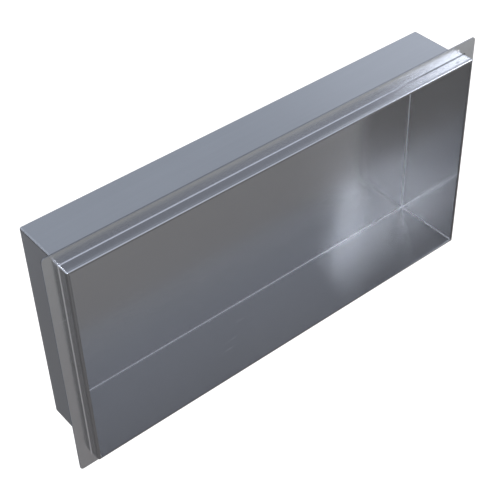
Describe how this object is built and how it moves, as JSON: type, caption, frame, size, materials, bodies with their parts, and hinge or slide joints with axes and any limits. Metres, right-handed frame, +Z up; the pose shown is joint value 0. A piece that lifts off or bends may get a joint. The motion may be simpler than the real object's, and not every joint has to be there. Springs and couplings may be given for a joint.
{
  "type": "shower niche insert",
  "caption": "Rectangular recessed shower niche insert folded from brushed stainless sheet, with a hemmed front lip ahead of a set-back wall flange with screw holes.",
  "frame": {"origin": "centre of the opening, on the flange's back face, which lies on the wall", "axes": "+X to the right seen from the front, +Y into the wall, +Z up"},
  "size_m": [0.6456, 0.0995, 0.3408],
  "materials": {
    "stainless": "brushed on the inside, lip and flange, with a plainer mill finish on the outside of the tray"
  },
  "bodies": {
    "root": {"niche_body": "stainless"}
  },
  "joints": []
}
